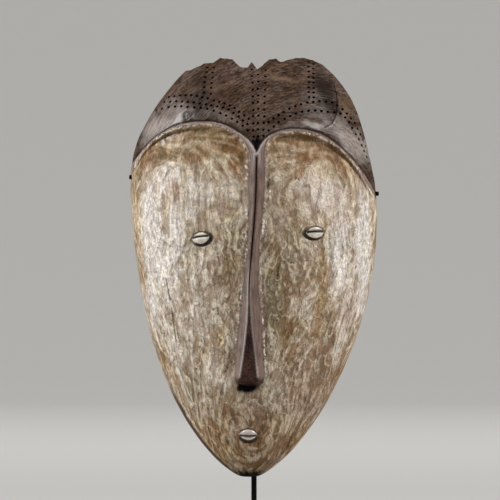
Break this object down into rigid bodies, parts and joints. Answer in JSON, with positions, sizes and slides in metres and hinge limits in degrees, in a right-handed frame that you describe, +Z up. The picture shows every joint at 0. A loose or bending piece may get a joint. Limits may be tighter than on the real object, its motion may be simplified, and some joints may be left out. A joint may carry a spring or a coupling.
{
  "type": "carved wooden mask on a stand",
  "caption": "Tall oval face mask carved in wood, hollow at the back, with a pricked forehead, a long ridge nose and cowrie eyes and mouth, held on a rod with a square foot.",
  "frame": {"origin": "middle of the foot's underside, on the surface that the stand stands on", "axes": "+Z up, the mask looks along -Y, +X to the right as seen from the front"},
  "size_m": [0.2756, 0.15, 0.5475],
  "materials": {
    "mask_wood": "dark burnished wood, the face whitened with worn, flaking clay",
    "cowrie_shell": "glossy ivory shell with a dark slit",
    "stand_steel": "satin black"
  },
  "bodies": {
    "root": {"mask": "mask_wood", "cowrie_eye_left": "cowrie_shell", "cowrie_eye_right": "cowrie_shell", "cowrie_mouth": "cowrie_shell", "stand_rod": "stand_steel", "stand_foot": "stand_steel"}
  },
  "joints": []
}
